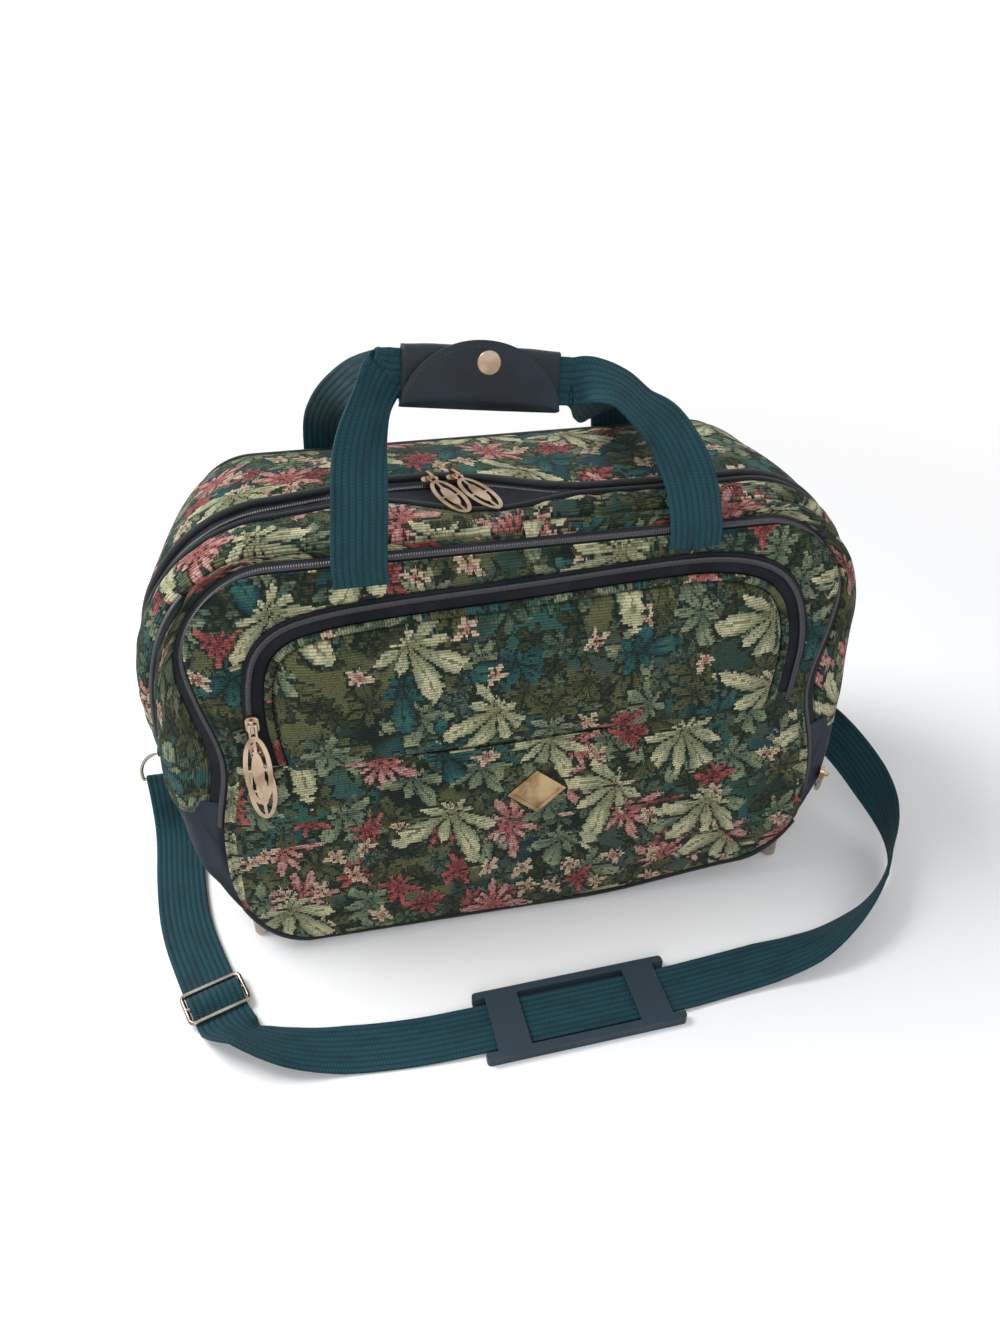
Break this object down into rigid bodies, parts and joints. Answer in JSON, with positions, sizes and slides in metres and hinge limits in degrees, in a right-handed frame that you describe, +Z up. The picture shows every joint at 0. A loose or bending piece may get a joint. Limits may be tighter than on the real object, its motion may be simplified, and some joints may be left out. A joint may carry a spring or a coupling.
{
  "type": "soft tapestry travel bag",
  "caption": "Stuffed tapestry travel bag with zipped front pocket, webbing handles joined by a leather wrap, and a shoulder strap lying in front.",
  "frame": {"origin": "on the floor under the middle of the bag", "axes": "+X to the bag's right as seen from its front, +Y to its back, +Z up"},
  "size_m": [0.6275, 0.3715, 0.4341],
  "materials": {
    "tapestry": "woven floral tapestry, dark bottle green ground",
    "nylon": "plain woven nylon, matt",
    "zip_tape": "woven tape, matt",
    "zip_coil": "nylon coil, satin",
    "piping": "cord covered with cloth, satin",
    "board": "stiff plastic board, hidden",
    "webbing": "ribbed petrol webbing",
    "leather": "smooth dark navy leather, stitched edge",
    "brass": "pale plated metal, satin",
    "foot_cap": "red plastic stud",
    "pad": "slate moulded plastic"
  },
  "bodies": {
    "bag": {"main_compartment": "tapestry", "middle_section": "tapestry", "front_compartment": "tapestry", "front_panel": "tapestry", "back_panel": "tapestry", "left_gusset": "nylon", "right_gusset": "nylon", "lower_panel": "tapestry", "front_pocket": "tapestry", "base_panel": "nylon", "main_zip_tape": "zip_tape", "main_zip_coil": "zip_coil", "side_zip_tape": "zip_tape", "side_zip_coil": "zip_coil", "front_zip_tape": "zip_tape", "front_zip_coil": "zip_coil", "pocket_zip_tape": "zip_tape", "pocket_zip_coil": "zip_coil", "back_piping": "piping", "front_piping": "piping", "side_piping": "piping", "pocket_piping": "tapestry", "base_board": "board", "foot_rims": "brass", "foot_caps": "foot_cap", "lozenge_plate": "brass", "handle_wrap": "leather", "snap_cap": "brass", "snap_socket": "brass", "front_handle": "webbing", "rear_handle": "webbing", "left_ring_tab": "webbing", "right_ring_tab": "webbing", "shoulder_strap": "webbing"},
    "left_ring": {"left_ring": "brass"},
    "right_ring": {"right_ring": "brass"},
    "buckle": {"strap_buckle": "brass"},
    "pad": {"shoulder_pad": "pad"},
    "main_left_slider": {"main_left_slider": "brass"},
    "main_left_pull": {"main_left_pull": "brass"},
    "main_right_slider": {"main_right_slider": "brass"},
    "main_right_pull": {"main_right_pull": "brass"},
    "pocket_upper_slider": {"pocket_upper_slider": "brass"},
    "pocket_upper_pull": {"pocket_upper_pull": "brass"},
    "pocket_lower_slider": {"pocket_lower_slider": "brass"},
    "pocket_lower_pull": {"pocket_lower_pull": "brass"},
    "side_zip_slider": {"side_zip_slider": "brass"},
    "side_zip_pull": {"side_zip_pull": "brass"},
    "front_zip_slider": {"front_zip_slider": "brass"},
    "front_zip_pull": {"front_zip_pull": "brass"}
  },
  "joints": [
    {"name": "left_ring_hinge", "type": "hinge", "parent": "bag", "child": "left_ring", "pos_m": [-0.279, 0.03, 0.09], "axis": [1, 0, 0], "range_deg": [-60, 60], "deforming": ["shoulder_strap"]},
    {"name": "right_ring_hinge", "type": "hinge", "parent": "bag", "child": "right_ring", "pos_m": [0.279, 0.03, 0.09], "axis": [1, 0, 0], "range_deg": [-60, 60], "deforming": ["shoulder_strap"]},
    {"name": "buckle_slide", "type": "slide", "parent": "bag", "child": "buckle", "axis": [0.342, -0.9397, 0], "range_m": [-0.06, 0.015], "deforming": ["shoulder_strap"]},
    {"name": "pad_slide", "type": "slide", "parent": "bag", "child": "pad", "axis": [0.9992, 0.0401, 0], "range_m": [-0.03, 0.03], "deforming": ["shoulder_strap"]},
    {"name": "main_left_slide", "type": "slide", "parent": "bag", "child": "main_left_slider", "axis": [-1, 0, 0], "range_m": [0, 0.06]},
    {"name": "main_left_pull_hinge", "type": "hinge", "parent": "main_left_slider", "child": "main_left_pull", "pos_m": [-0.052, 0.0022, 0.3266], "axis": [-0.9439, -0.33, 0.011], "range_deg": [0, 150]},
    {"name": "main_right_slide", "type": "slide", "parent": "bag", "child": "main_right_slider", "axis": [1, 0, 0], "range_m": [0, 0.06]},
    {"name": "main_right_pull_hinge", "type": "hinge", "parent": "main_right_slider", "child": "main_right_pull", "pos_m": [-0.034, 0.0022, 0.3266], "axis": [-0.912, -0.41, 0.014], "range_deg": [0, 150]},
    {"name": "pocket_upper_slide", "type": "slide", "parent": "bag", "child": "pocket_upper_slider", "axis": [0, 0.1104, 0.9939], "range_m": [0, 0.04]},
    {"name": "pocket_upper_pull_hinge", "type": "hinge", "parent": "pocket_upper_slider", "child": "pocket_upper_pull", "pos_m": [-0.1915, -0.103, 0.2069], "axis": [-1, 0, 0], "range_deg": [0, 75]},
    {"name": "pocket_lower_slide", "type": "slide", "parent": "bag", "child": "pocket_lower_slider", "axis": [0, -0.1104, -0.9939], "range_m": [0, 0.004]},
    {"name": "pocket_lower_pull_hinge", "type": "hinge", "parent": "pocket_lower_slider", "child": "pocket_lower_pull", "pos_m": [-0.1915, -0.1053, 0.1859], "axis": [-1, 0, 0], "range_deg": [0, 12]},
    {"name": "side_zip_slide", "type": "slide", "parent": "bag", "child": "side_zip_slider", "axis": [0.1328, 0, 0.9911], "range_m": [0, 0.02]},
    {"name": "side_zip_pull_hinge", "type": "hinge", "parent": "side_zip_slider", "child": "side_zip_pull", "pos_m": [0.2673, -0.0466, 0.1203], "axis": [-0.12, -0.9927, 0.016], "range_deg": [0, 75]},
    {"name": "front_zip_slide", "type": "slide", "parent": "bag", "child": "front_zip_slider", "axis": [0.1208, 0, 0.9927], "range_m": [0, 0.02]},
    {"name": "front_zip_pull_hinge", "type": "hinge", "parent": "front_zip_slider", "child": "front_zip_pull", "pos_m": [0.2466, -0.0995, 0.0845], "axis": [-0.4219, -0.6208, -0.6608], "range_deg": [0, 75]}
  ]
}
